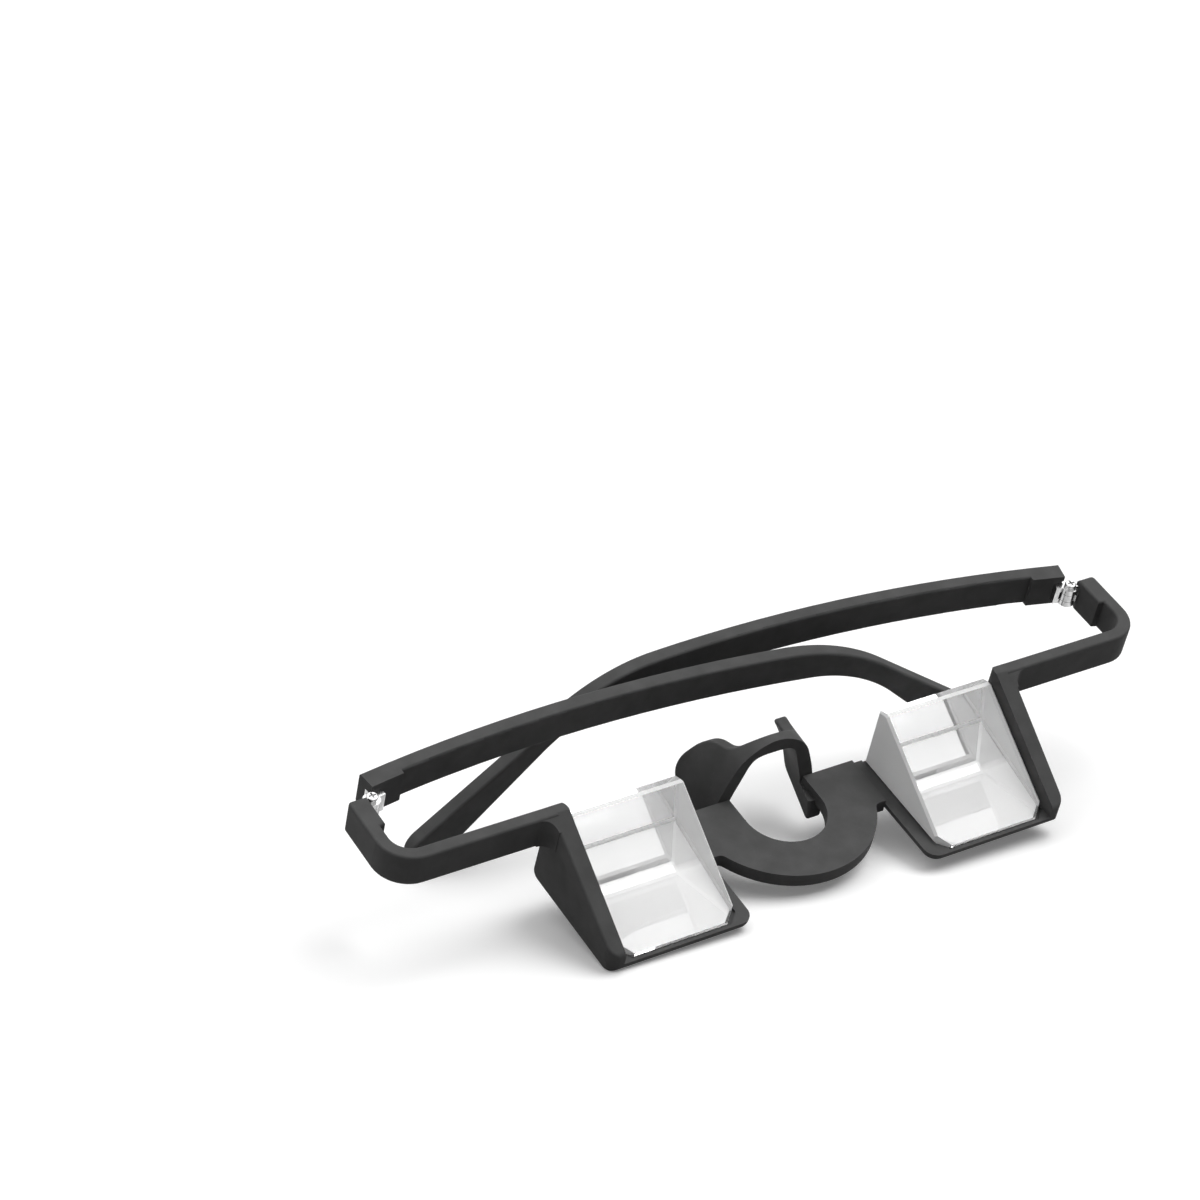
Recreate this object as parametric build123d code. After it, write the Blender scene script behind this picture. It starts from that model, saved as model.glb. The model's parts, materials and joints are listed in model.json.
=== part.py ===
from build123d import *
import math
import os

# Belay prism glasses: one moulded front that carries two glass prisms, and two folding temples.
# Lengths are millimetres. Everything is drawn as worn: +X towards the wearer's left, +Y back towards
# the ears, +Z up along the hinge pins. z = 0 is the top of the end bars and y = 0 their front face.
# Only the wearer's left half is drawn, and the right half mirrors it. The last section folds the
# temples, tips the glasses on to the table as they lie, and writes one file per piece.

# Overall sizes
overall_width = 148.0
pupil_distance = 62.0
edge_round = 0.45
cut_overrun = 3.0

# End bars and arms
bar_height = 6.0
bar_depth = 2.4
arm_depth = 15.0
corner_radius = 6.0
boss_share = 0.41
boss_step = 0.3
end_round = 0.7

# Prisms: a vertical face to the eye, a mirrored bottom, a slanted face and a narrow cut along the top
prism_width = 21.9
prism_height = 12.9
prism_top = -1.7
prism_rear = 2.9
prism_toe_cut = 1.0
prism_corner_cut = 2.2
prism_bevel = 0.4
slant_rear = 1.6
slant_angle = 30.0
top_cut_front = 0.9
top_cut_angle = 19.0
mirror_thickness = 0.1
bond_thickness = 0.08
bond_inset = 1.0
mirror_gap = 0.02

# Prism holders: a shallow tray and an outer side plate with a rim along the slant
fit_gap = 0.25
tray_floor = 1.2
tray_lip = 0.45
tray_gap = 0.45
front_lip = 0.75
tray_behind = 0.15
inner_lip = 2.3
tray_corner = 2.4
corner_lead = 0.15
toe_round = 1.3
side_plate_thickness = 2.5
rim_proud = 2.0
rim_flange = 0.7
rim_taper = 0.5
plate_corner = 2.1
rim_width = 2.6
gusset_radius = 2.2

# Bridge plate: a C of flat plate between the trays
bridge_thickness = 2.4
bridge_radius = 16.8
bridge_centre = -0.3
bridge_rear = 3.1
bridge_root = 10.2
bridge_hole_radius = 7.4
bridge_hole_centre = -2.2
notch_radius = 1.0

# Nose saddle: an arch that rises from the plate's rear ends and flares back into two wings
saddle_front = 3.3
saddle_crown = -2.85
saddle_drop = 16.3
arch_depth = 1.7
wing_thickness = 2.6
wing_front = -2.4
wing_rear = 14.0
wing_front_half_width = 8.5
wing_rear_half_width = 12.9
saddle_side_shares = ((0.57, 0.20), (0.87, 0.26), (1.0, 0.62), (0.76, 0.95), (0.0, 1.0))
saddle_side_rounds = (3.0, 4.2, 4.6, 3.0, 1.0)
saddle_edge_round = 0.4
level_shares = (0.0, 0.07, 0.20, 0.40, 0.65, 1.0)
wing_front_width_shares = (0.0, 0.44, 0.73, 0.84, 0.95, 1.0)
wing_rear_width_shares = (0.0, 0.32, 0.53, 0.75, 0.93, 1.0)

# Temples: s runs from the hinge pin towards the ear, outward is away from the head
temple_thickness = 2.65
temple_arc_share = 0.757
temple_bow_share = 0.042
temple_inset_share = 0.031
ear_length_top = 38.0
ear_bend_step = 3.9
ear_radius_top = 35.0
ear_radius_bottom = 25.0
ear_slope_top = 32.6
ear_reach_top = 128.8
ear_tip_step = 7.2
ear_tip_drop = 5.1
ear_tip_round = 3.6

# Hinges: a two-knuckle fork on the temple, one knuckle on the front, and a pan-head screw as the pin
pin_inset = 4.6
pin_set_back = 0.2
temple_end_gap = 0.15
knuckle_radius = 1.45
knuckle_room = 0.3
pin_radius = 0.6
running_clearance = 0.04
knuckle_side_gap = 0.06
head_radius = 1.0
head_height = 0.85
head_round = 0.3
head_top = -0.5
recess_width = 0.34
recess_length = 1.3
recess_depth = 0.4
fork_knuckle_height = 1.02
middle_knuckle_height = 1.36
fork_neck_proud = 1.3
front_neck_proud = 0.6
neck_into_boss = 1.2
fork_neck_start = 0.45
fork_neck_length = 2.6
front_neck_length = 1.6
anchor_length = 3.0
anchor_thickness = 0.8
anchor_height = 2.4
boss_depth = 3.4

# How the temples are folded, measured from straight back
right_fold_angle = 90.0
left_fold_angle = 84.7
settling_steps = 4

half_width = overall_width / 2
slant_rise = math.tan(math.radians(slant_angle))
slant_length = math.cos(math.radians(slant_angle))
prism_inner = pupil_distance / 2 - prism_width / 2
prism_outer = pupil_distance / 2 + prism_width / 2
prism_bottom = prism_top - prism_height
prism_toe = slant_rear - prism_height / slant_rise + prism_toe_cut
tray_top_floor = prism_bottom - mirror_gap - mirror_thickness - bond_thickness
tray_bottom = tray_top_floor - tray_floor
tray_lip_top = tray_top_floor + tray_lip
tray_front = prism_toe - fit_gap - front_lip
tray_rear = prism_rear + tray_behind
tray_inner = prism_inner - fit_gap - inner_lip
plate_inner = prism_outer + fit_gap
plate_outer = plate_inner + side_plate_thickness
rim_outer = plate_outer + rim_flange
boss_length = boss_share * arm_depth
temple_arc_length = temple_arc_share * ear_reach_top
temple_bow = temple_bow_share * temple_arc_length
temple_inset = temple_inset_share * temple_arc_length
temple_tail = ear_reach_top - temple_arc_length + cut_overrun
ear_bend_top = ear_reach_top - ear_length_top
ear_bend_bottom = ear_bend_top + ear_bend_step
ear_reach_bottom = ear_reach_top - ear_tip_step
pin_x = half_width - pin_inset
pin_y = arm_depth + pin_set_back
toe_out = 2 * math.atan(2 * temple_bow / temple_arc_length) - math.atan(temple_inset / temple_arc_length)
front_face = pin_inset - boss_depth
fork_face = pin_inset * math.cos(toe_out) - temple_end_gap * math.sin(toe_out) - boss_depth
fork_top = head_top - head_height
middle_top = fork_top - fork_knuckle_height - knuckle_side_gap
lower_top = middle_top - middle_knuckle_height - knuckle_side_gap
fork_bottom = lower_top - fork_knuckle_height
middle_z = middle_top - middle_knuckle_height / 2


def outline(points):
    """A face with corners at (a, b), each rounded to its own radius."""
    face = make_face(Polyline(*[(a, b) for a, b, radius in points], close=True))
    for a, b, radius in points:
        if radius > 0:
            corner = face.vertices().sort_by_distance((a, b))[0]
            face = fillet(corner, radius)
    return face


def slab(plane, start, end, points):
    """An outline drawn on a plane and extruded from start to end along the plane's normal."""
    return extrude(plane.offset(start) * outline(points), end - start)


def block(x_range, y_range, z_range):
    """A box between pairs of coordinates."""
    sizes = [high - low for low, high in (x_range, y_range, z_range)]
    middle = [(low + high) / 2 for low, high in (x_range, y_range, z_range)]
    return Pos(*middle) * Box(*sizes)


def post(radius, low, high):
    """A round post on the hinge axis, between two heights."""
    return Pos(0, 0, (low + high) / 2) * Cylinder(radius, high - low)


def slant_z(y, proud):
    """Height of a line parallel to the prism's slanted face, a distance proud of it."""
    return prism_top + (y - slant_rear) * slant_rise + proud / slant_length


def slant_y(z, proud):
    """Where that line reaches a height."""
    return slant_rear + (z - prism_top - proud / slant_length) / slant_rise


def footprint(inset):
    """The prism's bottom seen from above, with its two toe corners cut off, drawn in by an inset."""
    low_x, high_x = prism_inner + inset, prism_outer - inset
    low_y, high_y = prism_toe + inset, prism_rear - inset
    cut = prism_corner_cut
    return [
        (low_x, high_y, 0), (low_x, low_y + cut, 0), (low_x + cut, low_y, 0),
        (high_x - cut, low_y, 0), (high_x, low_y + cut, 0), (high_x, high_y, 0),
    ]


def end_faces_edges(solid):
    """The edges round a slab's top and bottom faces."""
    faces = solid.faces().sort_by(Axis.Z)
    return faces[0].edges() + faces[-1].edges()


def hinge_relief():
    """Room for the knuckles at the inner corner of a plastic end, in hinge coordinates."""
    return post(knuckle_radius + knuckle_room, -bar_height - cut_overrun, fork_top + knuckle_room)


def leaf(face, proud, neck_start, neck_end, low, high, away):
    """A hinge leaf beside a boss face: a neck that shows and an anchor moulded into the boss."""
    inside = face + neck_into_boss
    neck = block((face - proud, inside), sorted((away * neck_start, away * neck_end)), (low, high))
    anchor = block(
        (inside - anchor_thickness, inside),
        sorted((away * neck_end, away * (neck_end + anchor_length))),
        (middle_z - anchor_height / 2, middle_z + anchor_height / 2),
    )
    return neck + anchor


def fork_leaf():
    """The temple's half of the hinge: a block with room for the middle knuckle, and two knuckles."""
    fork = leaf(
        fork_face, fork_neck_proud, fork_neck_start, fork_neck_length, fork_bottom, fork_top, 1
    )
    fork = Rot(0, 0, -math.degrees(toe_out)) * fork
    fork += post(knuckle_radius, fork_bottom, fork_top)
    fork -= post(knuckle_radius + knuckle_room, lower_top, middle_top + knuckle_side_gap)
    fork -= post(pin_radius + running_clearance, lower_top, fork_top)
    return fork - post(pin_radius, fork_bottom, lower_top)


def front_leaf():
    """The front's half of the hinge: the middle knuckle, with its anchor in the arm."""
    low = middle_top - middle_knuckle_height
    single = leaf(
        front_face, front_neck_proud, pin_set_back, front_neck_length, low, middle_top, -1
    )
    single += post(knuckle_radius, low, middle_top)
    return single - post(pin_radius + running_clearance, low, middle_top)


def hinge_screw():
    """The pin: a pan-head screw with a cross recess, threaded into the fork's lower knuckle."""
    head = post(head_radius, fork_top, head_top)
    head = fillet(head.edges().sort_by(Axis.Z)[-1], head_round)
    recess_z = (head_top - recess_depth, head_top + cut_overrun)
    half_slot = recess_width / 2
    half_recess = recess_length / 2
    head -= block((-half_recess, half_recess), (-half_slot, half_slot), recess_z)
    head -= block((-half_slot, half_slot), (-half_recess, half_recess), recess_z)
    return head + post(pin_radius, fork_bottom, fork_top)


def temple():
    """One temple, straight back: a bowed strap that bends down into a flat tip behind the ear."""
    middle = (temple_end_gap + temple_arc_length / 2, pin_inset - temple_inset / 2 + temple_bow)
    arc_end = (temple_end_gap + temple_arc_length, pin_inset - temple_inset)
    outer = ThreePointArc((temple_end_gap, pin_inset), middle, arc_end)
    aside = [Vector((outer % share).Y, -(outer % share).X) for share in (0, 0.5, 1)]
    points = [outer @ share + temple_thickness * inward for share, inward in zip((0, 0.5, 1), aside)]
    inner = ThreePointArc(*points)
    tail = temple_tail * (outer % 1)
    far_end = Polyline(outer @ 1, outer @ 1 + tail, inner @ 1 + tail, inner @ 1)
    strap = make_face([outer, inner, far_end, Line(outer @ 0, inner @ 0)])
    along = outer % 0
    under_skin = outer @ 0 + temple_thickness / 2 * aside[0]
    pad_start = outer @ 0 + boss_depth * aside[0]
    pad = make_face(Polyline(
        under_skin, pad_start, pad_start + boss_length * along,
        under_skin + (boss_length + boss_step) * along, close=True,
    ))
    plan = Plane(origin=(0, 0, 0), x_dir=(0, 1, 0), z_dir=(0, 0, -1)) * (strap + pad)
    tip_top = -(ear_reach_top - ear_bend_top) * math.tan(math.radians(ear_slope_top))
    tip_bottom = tip_top - ear_tip_drop
    side = [
        (-cut_overrun, 0, 0),
        (ear_bend_top, 0, ear_radius_top),
        (ear_reach_top, tip_top, ear_tip_round),
        (ear_reach_bottom, tip_bottom, ear_tip_round),
        (ear_bend_bottom, -bar_height, ear_radius_bottom),
        (-cut_overrun, -bar_height, 0),
    ]
    strap = extrude(plan, -tip_bottom, dir=(0, 0, -1)) & slab(Plane.YZ, -half_width, half_width, side)
    longest_end_edge = max(bar_height + edge_round, boss_length + boss_step)
    return fillet(strap.edges().filter_by(lambda edge: edge.length > longest_end_edge), edge_round)


def end_bar():
    """The bar outward from a holder and the arm back to the hinge, with a thicker hinge boss."""
    inner_x = half_width - bar_depth
    boss_x = half_width - boss_depth
    boss_start = arm_depth - boss_length
    points = [
        (plate_inner + plate_corner, 0, 0),
        (half_width, 0, corner_radius),
        (half_width, arm_depth, end_round),
        (boss_x, arm_depth, 0),
        (boss_x, boss_start, 0),
        (inner_x, boss_start - boss_step, 0),
        (inner_x, bar_depth, corner_radius - bar_depth),
        (plate_inner + plate_corner, bar_depth, 0),
    ]
    band = slab(Plane.XY, -bar_height, 0, points)
    band = fillet(end_faces_edges(band), edge_round)
    return band - Pos(pin_x, pin_y) * (hinge_relief() + front_leaf())


def side_plate():
    """The triangular outer wall of a holder, with a flanged rim along the slant and a bare field."""
    rim_front_z = slant_z(tray_front, rim_proud)
    profile = [
        (bar_depth, 0, edge_round),
        (slant_y(0, rim_proud), 0, edge_round),
        (tray_front, rim_front_z, toe_round),
        (tray_front, tray_bottom, toe_round),
        (tray_rear, tray_bottom, toe_round),
    ]
    plan = [
        (plate_inner, tray_rear, plate_corner),
        (plate_inner, tray_front - corner_lead, 0),
        (rim_outer - rim_taper, tray_front - corner_lead, tray_corner + corner_lead),
        (rim_outer, tray_rear, 0),
    ]
    wall = slab(Plane.YZ, plate_inner, rim_outer, profile) & slab(Plane.XY, tray_bottom, 0, plan)
    outer_edges = wall.edges().filter_by(lambda edge: edge.center().X > plate_outer)
    level_edges = outer_edges.filter_by(lambda edge: abs(edge.tangent_at(0).Z) < slant_length)
    wall = fillet(level_edges, edge_round)
    inside = rim_proud - rim_width
    low = tray_bottom - cut_overrun
    field = [
        (tray_rear + cut_overrun, -bar_height, 0),
        (slant_y(-bar_height, inside), -bar_height, edge_round),
        (tray_front - cut_overrun, slant_z(tray_front - cut_overrun, inside), 0),
        (tray_front - cut_overrun, low, 0),
        (tray_rear + cut_overrun, low, 0),
    ]
    return wall - slab(Plane.YZ, plate_outer, rim_outer + cut_overrun, field)


def gusset():
    """The hollow blend between the bar's front face and the side plate, under the rim's slope."""
    far = rim_outer + gusset_radius
    blend = block((plate_outer, far), (-gusset_radius, bar_depth / 2), (-bar_height, 0))
    hollow = Pos(far, -gusset_radius, -bar_height / 2) * Cylinder(gusset_radius, bar_height + cut_overrun)
    top_y = slant_y(0, rim_proud)
    under_rim = [
        (top_y, 0, 0),
        (tray_front, slant_z(tray_front, rim_proud), 0),
        (tray_front, tray_bottom, 0),
        (bar_depth, tray_bottom, 0),
        (bar_depth, -edge_round, 0),
        (top_y, -edge_round, 0),
    ]
    return (blend - hollow) & slab(Plane.YZ, plate_outer, far, under_rim)


def tray():
    """The shallow tray that the prism is bonded into, with a low lip on its open sides."""
    corner_start = rim_outer - rim_taper - tray_corner
    into_plate = (plate_inner + corner_start) / 2
    points = [
        (tray_inner, tray_front, tray_corner),
        (into_plate, tray_front, 0),
        (into_plate, tray_rear, 0),
        (tray_inner, tray_rear, edge_round),
    ]
    body = slab(Plane.XY, tray_bottom, tray_lip_top, points)
    faces = body.faces().sort_by(Axis.Z)
    toe = faces[0].edges().sort_by(Axis.Y)[0]
    body = fillet(toe, toe_round)
    pocket = slab(Plane.XY, tray_top_floor, tray_lip_top + cut_overrun, footprint(-tray_gap))
    return body - pocket


def bridge_plate():
    """The flat C between the trays: a round plate with a U-shaped hole that opens to the rear."""
    disc = make_face(Pos(0, bridge_centre) * CenterArc((0, 0), bridge_radius, 0, 360))
    root = Pos(0, bridge_rear - bridge_root / 2) * Rectangle(2 * tray_inner, bridge_root)
    face = disc + root
    root_front = bridge_rear - bridge_root
    reach = math.sqrt(bridge_radius**2 - (root_front - bridge_centre) ** 2)
    for side in (-1, 1):
        notch = face.vertices().sort_by_distance((side * reach, root_front))[0]
        face = fillet(notch, notch_radius)
    behind = Pos(0, bridge_rear + bridge_radius) * Rectangle(4 * bridge_radius, 2 * bridge_radius)
    slot_length = bridge_rear + cut_overrun - bridge_hole_centre
    slot = Pos(0, bridge_hole_centre + slot_length / 2) * Rectangle(2 * bridge_hole_radius, slot_length)
    hole = Pos(0, bridge_hole_centre) * Circle(bridge_hole_radius)
    face = face - behind - slot - hole
    return extrude(Pos(0, 0, tray_bottom) * face, bridge_thickness)


def wing_half_widths(y):
    """Half widths of the saddle's outer line at each level, for a station between its two ends."""
    share = (y - wing_front) / (wing_rear - wing_front)
    return [
        front * wing_front_half_width * (1 - share) + rear * wing_rear_half_width * share
        for front, rear in zip(wing_front_width_shares, wing_rear_width_shares)
    ]


def saddle_section(y):
    """An inverted U at one station: a smooth outer line and an inner line a wall inside it."""
    heights = [saddle_crown - saddle_drop * share for share in level_shares]
    outer = list(zip(wing_half_widths(y), heights))
    inner = [(0, saddle_crown - wing_thickness)]
    inner += [(width - wing_thickness, height) for width, height in outer[2:]]
    outer_line = Spline(*[(-a, b) for a, b in reversed(outer[1:])], *outer)
    inner_line = Spline(*[(-a, b) for a, b in reversed(inner[1:])], *inner)
    foot_right = Line(outer[-1], inner[-1])
    foot_left = Line((-outer[-1][0], outer[-1][1]), (-inner[-1][0], inner[-1][1]))
    face = make_face([outer_line, foot_right, inner_line, foot_left])
    return Plane.XZ.offset(-y) * face


def nose_saddle():
    """The arch over the nose and its two wings: a tunnel that flares backwards, trimmed in side view."""
    above = saddle_crown + cut_overrun
    arch_rear = saddle_front + arch_depth
    inside_plate = tray_bottom + bridge_thickness / 3
    wing_length = wing_rear - wing_front
    lobes = [
        (wing_front + along * wing_length, saddle_crown - down * saddle_drop, radius)
        for (along, down), radius in zip(saddle_side_shares, saddle_side_rounds)
    ]
    heel, toe = lobes[-2:]
    behind_arch = [(wing_front, above, 0), (arch_rear, above, 0), (arch_rear, saddle_crown, 0), *lobes]
    under_plate = [heel, toe, (wing_front + bridge_thickness / 2, inside_plate, 0), (heel[0], inside_plate, 0)]
    saddle = None
    for start, end, trim in ((saddle_front, wing_rear, behind_arch), (wing_front, saddle_front, under_plate)):
        tunnel = loft([saddle_section(start), saddle_section(end)], ruled=True)
        piece = tunnel & slab(Plane.YZ, -2 * wing_rear_half_width, 2 * wing_rear_half_width, trim)
        saddle = piece if saddle is None else saddle + piece
    behind = saddle.edges().filter_by(lambda edge: edge.center().Y > saddle_front + saddle_edge_round)
    return fillet(behind, saddle_edge_round)


def front_frame():
    """The whole front moulding."""
    half = end_bar() + side_plate() + gusset() + tray()
    return half + mirror(half, Plane.YZ) + bridge_plate() + nose_saddle()


def prism():
    """A 30-60-90 prism with its thin toe, toe corners and top edge ground off, and fine bevels."""
    cut_top = slant_z(top_cut_front, 0)
    cut_drop = (prism_rear - top_cut_front) * math.tan(math.radians(top_cut_angle))
    profile = [
        (prism_rear, cut_top - cut_drop, 0),
        (prism_rear, prism_bottom, 0),
        (prism_toe, prism_bottom, 0),
        (prism_toe, slant_z(prism_toe, 0), 0),
        (top_cut_front, cut_top, 0),
    ]
    wedge = slab(Plane.YZ, prism_inner, prism_outer, profile)
    wedge = wedge & slab(Plane.XY, prism_bottom, prism_top, footprint(0))
    behind_toe = prism_toe + prism_corner_cut + prism_bevel
    return chamfer(wedge.edges().filter_by(lambda edge: edge.center().Y > behind_toe), prism_bevel)


def prism_mirror():
    """The silvered and backed layer under the prism."""
    top = prism_bottom - mirror_gap
    return slab(Plane.XY, top - mirror_thickness, top, footprint(prism_bevel))


def prism_bond():
    """The bond between the mirrored bottom and the tray floor."""
    return slab(Plane.XY, tray_top_floor, tray_top_floor + bond_thickness, footprint(bond_inset))


def hinged(part, fold_angle):
    """A left-hand piece in hinge coordinates, put at the left hinge and folded inwards."""
    return Pos(pin_x, pin_y) * Rot(0, 0, fold_angle) * part


def mirrored(part):
    """The right-hand copy of a left-hand piece."""
    return mirror(part, Plane.YZ)


temple_pieces = {
    "temple": temple() - hinge_relief() - fork_leaf(),
    "hinge_fork": fork_leaf(),
    "hinge_screw": hinge_screw(),
}
fixed_pieces = {
    "prism": prism(),
    "prism_mirror": prism_mirror(),
    "prism_bond": prism_bond(),
    "hinge_front": hinged(front_leaf(), 0),
}
worn = {"front_frame": front_frame()}
for name, part in fixed_pieces.items():
    worn[f"{name}_left"] = part
    worn[f"{name}_right"] = mirrored(part)
for name, part in temple_pieces.items():
    worn[f"{name}_left"] = hinged(part, left_fold_angle)
    worn[f"{name}_right"] = mirrored(hinged(part, right_fold_angle))

# The glasses lie on the right holder's toe and on both temple tips. The table plane starts through a
# rough point on each of them and is moved along its normal until all three touch it.
supports = {
    "front_frame": Vector(-rim_outer, tray_front, tray_bottom),
    "temple_left": Vector(pin_x - ear_reach_bottom, pin_y, tray_bottom * 2),
    "temple_right": Vector(ear_reach_bottom - pin_x, pin_y, tray_bottom * 2),
}
for attempt in range(settling_steps):
    front, left, right = supports.values()
    table = Plane(origin=front, x_dir=(1, 0, 0), z_dir=(right - front).cross(left - front).normalized())
    for name, point in supports.items():
        low = table.to_local_coords(worn[name]).bounding_box().min.Z
        supports[name] = point + table.z_dir * low
    print("height off the table before this step", low)

tipped = {name: table.to_local_coords(part) for name, part in worn.items()}
extent = Compound(list(tipped.values())).bounding_box()
to_origin = Pos(-extent.center().X, -extent.center().Y, -extent.min.Z)

os.makedirs("parts", exist_ok=True)
for name, part in tipped.items():
    placed = to_origin * part
    print(name, len(placed.solids()), placed.volume, placed.bounding_box())
    export_step(placed, f"parts/{name}.step")
for side in (1, -1):
    pin = to_origin * Location(table.to_local_coords(Vector(side * pin_x, pin_y, middle_z)))
    print("hinge at", pin.position)
print("hinge axis", table.to_local_coords(Vector(0, 0, 1)) - table.to_local_coords(Vector(0, 0, 0)))
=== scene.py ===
import bpy
import json
import numpy as np
from mathutils import Matrix, Vector

# Belay prism glasses, folded, on a pale table. Lengths are metres, in the model's own frame.
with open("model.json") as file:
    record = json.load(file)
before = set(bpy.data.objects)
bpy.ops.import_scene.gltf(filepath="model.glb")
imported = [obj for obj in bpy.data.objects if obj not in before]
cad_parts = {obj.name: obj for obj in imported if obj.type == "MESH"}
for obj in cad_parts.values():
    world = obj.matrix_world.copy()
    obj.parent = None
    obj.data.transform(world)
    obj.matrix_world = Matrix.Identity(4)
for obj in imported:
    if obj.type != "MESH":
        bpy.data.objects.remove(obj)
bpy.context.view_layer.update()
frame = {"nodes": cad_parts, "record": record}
nodes = frame["nodes"]
print("frame loaded:", len(nodes), "pieces")

# where the photograph was taken from: a long lens, above and to the wearer's right
cameraView = {
    "place": (-0.305296, -0.417249, 0.290294),
    "right": (0.844114, -0.535520, 0.026275),
    "down": (-0.210775, -0.376497, -0.902122),
    "lens": 106.68,  # millimetres, and so is the sensor's width
    "sensor": 36.0,
    "nearest": 0.01,
}
right = Vector(cameraView["right"]).normalized()
up = -Vector(cameraView["down"]).normalized()
back = right.cross(up)
camera = bpy.data.cameras.new("camera")
camera.lens = cameraView["lens"]
camera.sensor_width = cameraView["sensor"]
camera.clip_start = cameraView["nearest"]
cameraObject = bpy.data.objects.new("camera", camera)
turn = Matrix((right, up, back)).transposed().to_4x4()
cameraObject.matrix_world = Matrix.Translation(cameraView["place"]) @ turn
bpy.context.collection.objects.link(cameraObject)
bpy.context.scene.camera = cameraObject
bpy.context.scene.view_settings.view_transform = "Standard"
print("camera placed")

# axes of the front as it lies: side runs along the bars, up along the hinge pins, rear out of the eye faces
joints = {joint["child"]: joint for joint in frame["record"]["behaviour"]["joints"]}
pins = {name: Vector(joint["pos_m"]) for name, joint in joints.items()}
frontAxes = {"side": (pins["temple_left"] - pins["temple_right"]).normalized()}
frontAxes["up"] = Vector(joints["temple_right"]["axis"]).normalized()
frontAxes["rear"] = frontAxes["up"].cross(frontAxes["side"])


# A socket that takes part in sums: each operator adds its Math node to the same tree.
class Wire:
    def __init__(self, shader, socket):
        self.shader = shader
        self.socket = socket

    def maths(self, operation, first, second=0.0, **settings):
        settings["operation"] = operation
        return self.shader.node("ShaderNodeMath", settings, {0: first, 1: second})["Value"]

    def __add__(self, other):
        return self.maths("ADD", self, other)

    def __radd__(self, other):
        return self.maths("ADD", other, self)

    def __sub__(self, other):
        return self.maths("SUBTRACT", self, other)

    def __rsub__(self, other):
        return self.maths("SUBTRACT", other, self)

    def __mul__(self, other):
        return self.maths("MULTIPLY", self, other)

    def __rmul__(self, other):
        return self.maths("MULTIPLY", other, self)

    def __truediv__(self, other):
        return self.maths("DIVIDE", self, other)

    def __gt__(self, other):
        return self.maths("GREATER_THAN", self, other)

    # without its sign
    def size(self):
        return self.maths("ABSOLUTE", self)

    # held between 0 and 1
    def held(self):
        return self.maths("ADD", self, use_clamp=True)


# A node's outputs as wires, each by its name or its number.
class Outputs:
    def __init__(self, shader, made):
        self.shader = shader
        self.made = made

    def __getitem__(self, name):
        return Wire(self.shader, self.made.outputs[name])


# The nodes of one material, or of the world.
class Shader:
    def __init__(self, owner):
        owner.use_nodes = True
        self.owner = owner
        self.tree = owner.node_tree
        self.tree.nodes.clear()

    # settings come first, because they decide which sockets a node has
    def node(self, kind, settings=None, values=None):
        made = self.tree.nodes.new(kind)
        for name, value in (settings or {}).items():
            setattr(made, name, value)
        for name, value in (values or {}).items():
            if isinstance(value, Wire):
                self.tree.links.new(value.socket, made.inputs[name])
            else:
                made.inputs[name].default_value = value
        return Outputs(self, made)

    # a Mix node takes its two colours at sockets 6 and 7, and gives the mixed one at 2
    def mix(self, share, first, second):
        return self.node("ShaderNodeMix", {"data_type": "RGBA"}, {0: share, 6: first, 7: second})[2]

    def noise(self, place, size, detail=2.0):
        values = {"Vector": place, "Scale": 1 / size, "Detail": detail}
        return self.node("ShaderNodeTexNoise", None, values)["Fac"]

    def dot(self, first, second):
        return self.node("ShaderNodeVectorMath", {"operation": "DOT_PRODUCT"}, {0: first, 1: second})["Value"]

    def bump(self, strength, depth, height):
        values = {"Strength": strength, "Distance": depth, "Height": height}
        return self.node("ShaderNodeBump", None, values)["Normal"]

    def body(self, values):
        return self.node("ShaderNodeBsdfPrincipled", None, values)["BSDF"]

    # 1 for the rays that look at a thing, straight or by way of metal or glass, and 0 for those that light it
    def seenRays(self):
        path = self.node("ShaderNodeLightPath")
        return (path["Is Camera Ray"] + path["Is Glossy Ray"] + path["Is Transmission Ray"]).held()

    def surface(self, wire, output="ShaderNodeOutputMaterial"):
        self.node(output, None, {"Surface": wire})
        return self.owner


def grey(level):
    return (level, level, level, 1.0)


# a value that goes from the first limit to the second as the share goes from 0 to 1
def between(limits, share):
    first, second = limits
    return first + (second - first) * share


# Moulded plastic: a fine matt grain, faint cloudiness, sparse pale specks, and paler edges that are partly
# wear and partly a painted highlight where the rounded edges catch the light.
mouldedPlastic = {
    "dark": grey(0.070),
    "pale": grey(0.092),
    "speck": grey(0.11),
    # paler edge colour: wear, and a painted highlight along the rounded edges
    "worn": grey(0.10),
    "grainSize": 0.00022,
    "grainDepth": 0.000014,
    "bumpStrength": 0.6,
    "cloudSize": 0.004,
    "cloudDetail": 3.0,
    "cloudFrom": 0.3,
    "cloudContrast": 2.0,
    "cloudDepth": 0.5,  # as a share of the grain's
    "speckSize": 0.0004,
    "speckDetail": 1.0,
    "speckFrom": 0.72,  # the higher this is, the fewer specks
    "speckSharpness": 12.0,
    "speckShare": 0.4,
    "edgeWidth": 0.00035,
    "edgeSamples": 6,
    "wear": 7.0,
    "wearEvenness": 0.3,  # the higher this is, the less the grain breaks up the paler edges, wear and painted highlight alike
    "wornShare": 0.5,
    "roughness": (0.58, 0.72),
    "gloss": 0.07,
}


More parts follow.
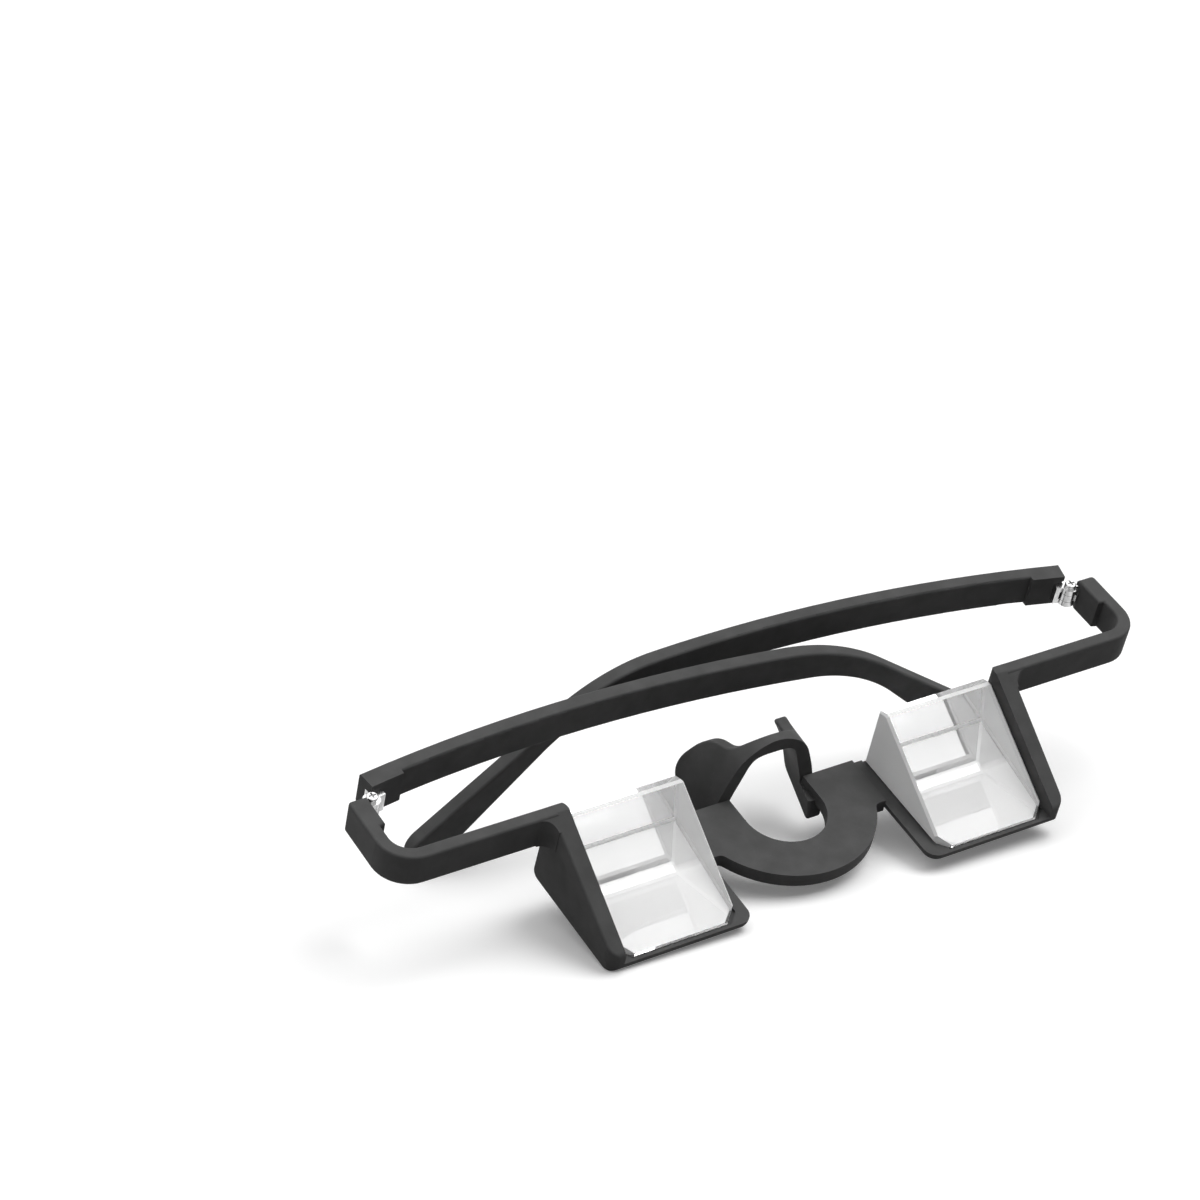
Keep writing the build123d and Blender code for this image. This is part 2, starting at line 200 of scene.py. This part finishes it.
def makePlastic(name, look):
    shader = Shader(bpy.data.materials.new(name))
    place = shader.node("ShaderNodeTexCoord")["Object"]
    grain = shader.noise(place, look["grainSize"])
    cloud = shader.noise(place, look["cloudSize"], look["cloudDetail"])
    cells = shader.noise(place, look["speckSize"], look["speckDetail"])
    patches = (cloud - look["cloudFrom"]).held() * look["cloudContrast"]
    specks = ((cells - look["speckFrom"]) * look["speckSharpness"]).held()

    # at an edge the rounded normal leaves the flat one, and there the plastic is painted paler: partly wear,
    # partly a painted highlight along the edge
    edge = {"Radius": look["edgeWidth"]}
    rounded = shader.node("ShaderNodeBevel", {"samples": look["edgeSamples"]}, edge)["Normal"]
    flat = shader.node("ShaderNodeNewGeometry")["Normal"]
    worn = ((1 - shader.dot(rounded, flat)) * look["wear"] * (grain + look["wearEvenness"])).held()

    colour = shader.mix(patches, look["dark"], look["pale"])
    colour = shader.mix(specks * look["speckShare"], colour, look["speck"])
    # paler edges: wear, and a painted highlight where the edges catch the light
    colour = shader.mix(worn * look["wornShare"], colour, look["worn"])
    height = grain + cloud * look["cloudDepth"]
    body = shader.body({
        "Base Color": colour,
        "Roughness": between(look["roughness"], grain),
        "Normal": shader.bump(look["bumpStrength"], look["grainDepth"], height),
        "Specular IOR Level": look["gloss"],
    })
    return shader.surface(body)


# Optical glass: polished on the faces that are looked through, finely ground on the sides and bevels.
prismGlass = {
    "index": 1.517,
    "glass": grey(0.995),
    "ground": grey(0.82),
    "groundPale": grey(0.91),
    "cloudSize": 0.006,
    "slantDegrees": 30.0,
    "topCutDegrees": 19.0,
    "sameWay": 0.9995,  # the cosine from which a face counts as one of the polished ones
    "groundRoughness": 0.6,
    "groundGloss": 0.3,
    "through": 0.25,  # the share of the light that goes through the ground glass
}


def makeGlass(name, look):
    shader = Shader(bpy.data.materials.new(name))
    coordinates = shader.node("ShaderNodeTexCoord")
    slant, cut = np.radians((look["slantDegrees"], look["topCutDegrees"]))
    upward, rearward = frontAxes["up"], frontAxes["rear"]
    polishedWays = [
        rearward,
        upward,
        upward * np.cos(slant) - rearward * np.sin(slant),
        upward * np.cos(cut) + rearward * np.sin(cut),
    ]
    polished = 0.0
    for way in polishedWays:
        polished = polished + (shader.dot(coordinates["Normal"], tuple(way)).size() > look["sameWay"])
    clearGlass = shader.body({
        "Base Color": look["glass"],
        "Roughness": 0.0,
        "IOR": look["index"],
        "Transmission Weight": 1.0,
    })
    cloud = shader.noise(coordinates["Object"], look["cloudSize"])
    groundGlass = shader.body({
        "Base Color": shader.mix(cloud, look["ground"], look["groundPale"]),
        "Roughness": look["groundRoughness"],
        "IOR": look["index"],
        "Specular IOR Level": look["groundGloss"],
        "Transmission Weight": look["through"],
    })
    both = shader.node("ShaderNodeMixShader", None, {0: polished.held(), 1: groundGlass, 2: clearGlass})
    return shader.surface(both["Shader"])


# Silvering under the prism, seen through the glass: partly mirror at the rear, and a diffuse white towards
# the prism's thin front, where a mirror would only show the dark folded temples.
silvering = {
    "silver": grey(0.96),
    "dulled": grey(0.92),
    "dullSize": 1 / 300,
    "white": grey(0.95),
    "rearMetal": 0.60,
    "frontMetal": 0.0,
    "whiteFrom": 0.0082,  # this and the next are measured forward from the rear edge
    "whiteTo": 0.0098,
}


def makeSilver(name, look):
    shader = Shader(bpy.data.materials.new(name))
    place = shader.node("ShaderNodeTexCoord")["Object"]
    dull = shader.noise(place, look["dullSize"])
    rearward = frontAxes["rear"]
    mirror = nodes["prism_mirror_left"].data
    rearEdge = max(point.co.dot(rearward) for point in mirror.vertices)
    depth = shader.dot(place, tuple(rearward))
    front = ((rearEdge - look["whiteFrom"] - depth) / (look["whiteTo"] - look["whiteFrom"])).held()
    body = shader.body({
        "Base Color": shader.mix(front, shader.mix(dull, look["silver"], look["dulled"]), look["white"]),
        "Metallic": between((look["rearMetal"], look["frontMetal"]), front),
        "Roughness": 0.0,
        "Specular IOR Level": 0.0,
    })
    return shader.surface(body)


# Bright plated steel of the hinges and screws: fine scratches, dull where they lie.
platedSteel = {
    "bright": grey(0.82),
    "dull": grey(0.30),
    "scratchSize": 0.0004,
    "scratchDetail": 4.0,
    "scratchStretch": (1.0, 1.0, 0.15),
    "scratchDepth": 0.00001,
    "bumpStrength": 0.3,
    "roughness": (0.10, 0.26),
}


def makeSteel(name, look):
    shader = Shader(bpy.data.materials.new(name))
    place = shader.node("ShaderNodeTexCoord")["Object"]
    stretch = {"Vector": place, "Scale": look["scratchStretch"]}
    stretched = shader.node("ShaderNodeMapping", None, stretch)["Vector"]
    scratch = shader.noise(stretched, look["scratchSize"], look["scratchDetail"])
    body = shader.body({
        "Base Color": shader.mix(scratch, look["bright"], look["dull"]),
        "Metallic": 1.0,
        "Roughness": between(look["roughness"], scratch),
        "Normal": shader.bump(look["bumpStrength"], look["scratchDepth"], scratch),
    })
    return shader.surface(body)


# Clear adhesive under the silvering.
adhesive = {"colour": grey(0.35), "cloudSize": 0.002, "roughness": (0.4, 0.6)}


def makeAdhesive(name, look):
    shader = Shader(bpy.data.materials.new(name))
    place = shader.node("ShaderNodeTexCoord")["Object"]
    cloud = shader.noise(place, look["cloudSize"])
    body = shader.body({"Base Color": look["colour"], "Roughness": between(look["roughness"], cloud)})
    return shader.surface(body)


# each finish: what makes it, its look and the pieces that wear it
finishes = {
    "mouldedPlastic": (makePlastic, mouldedPlastic, ["front_frame", "temple_left", "temple_right"]),
    "prismGlass": (makeGlass, prismGlass, ["prism_left", "prism_right"]),
    "silvering": (makeSilver, silvering, ["prism_mirror_left", "prism_mirror_right"]),
    "adhesive": (makeAdhesive, adhesive, ["prism_bond_left", "prism_bond_right"]),
    "platedSteel": (makeSteel, platedSteel, [
        "hinge_front_left", "hinge_front_right", "hinge_fork_left", "hinge_fork_right",
        "hinge_screw_left", "hinge_screw_right",
    ]),
}
for finish, (make, look, names) in finishes.items():
    material = make(finish, look)
    for name in names:
        slots = nodes[name].data.materials
        if len(slots) == 0:
            slots.append(material)
        for place in range(len(slots)):
            slots[place] = material
print("finishes set:", ", ".join(finishes))

# Table: white paper. It looks white to camera, metal and glass, with the shadows in it, and throws back
# less light than it seems to, as a sheet of this size does in a studio.
table = {
    "halfSize": 3.0,
    "seen": 0.93,
    "bounce": 0.25,  # how pale it is for the light that it throws back
    "lift": 0.14,  # a little glow, so that the shadows stay soft
    "fibreSize": 1 / 900,
    "fibreShare": 0.01,
}
square = np.array([(-1.0, -1.0, 0.0), (1.0, -1.0, 0.0), (1.0, 1.0, 0.0), (-1.0, 1.0, 0.0)])
corners = table["halfSize"] * square
floorMesh = bpy.data.meshes.new("table")
floorMesh.from_pydata(corners.tolist(), [], [(0, 1, 2, 3)])
floor = bpy.data.objects.new("table", floorMesh)
bpy.context.collection.objects.link(floor)
paper = Shader(bpy.data.materials.new("tablePaper"))
seen = paper.seenRays()
fibre = paper.noise(paper.node("ShaderNodeTexCoord")["Object"], table["fibreSize"])
white = paper.mix(fibre * table["fibreShare"], grey(table["seen"]), grey(1.0))
sheet = paper.node("ShaderNodeBsdfDiffuse", None, {"Color": paper.mix(seen, grey(table["bounce"]), white)})
glow = paper.node("ShaderNodeEmission", None, {"Color": grey(1.0), "Strength": seen * table["lift"]})
both = paper.node("ShaderNodeAddShader", None, {0: sheet["BSDF"], 1: glow["Emission"]})
floorMesh.materials.append(paper.surface(both["Shader"]))

# Light: an even pale room and three large soft lamps far away.
room = {"light": 0.13, "seen": 1.0}
world = bpy.data.worlds.new("room")
air = Shader(world)
strength = between((room["light"], room["seen"]), air.seenRays())
sky = air.node("ShaderNodeBackground", None, {"Color": grey(1.0), "Strength": strength})
air.surface(sky["Background"], "ShaderNodeOutputWorld")
bpy.context.scene.world = world

# a lamp's level is how bright it makes a white surface that faces it, and its spread is how wide it looks
lamps = {
    "key": {"from": (0.45, -0.15, 0.85), "spread": 45.0, "level": 0.54},
    "above": {"from": (-0.05, 0.30, 0.95), "spread": 80.0, "level": 0.49},
    "left": {"from": (-0.85, -0.10, 0.35), "spread": 45.0, "level": 0.08},
}
for name, lamp in lamps.items():
    light = bpy.data.lights.new(name, "SUN")
    light.energy = lamp["level"] * np.pi
    light.angle = np.radians(lamp["spread"])
    lampObject = bpy.data.objects.new(name, light)
    lampObject.matrix_world = Vector(lamp["from"]).to_track_quat("Z", "Y").to_matrix().to_4x4()
    bpy.context.collection.objects.link(lampObject)
print("table and lamps set")
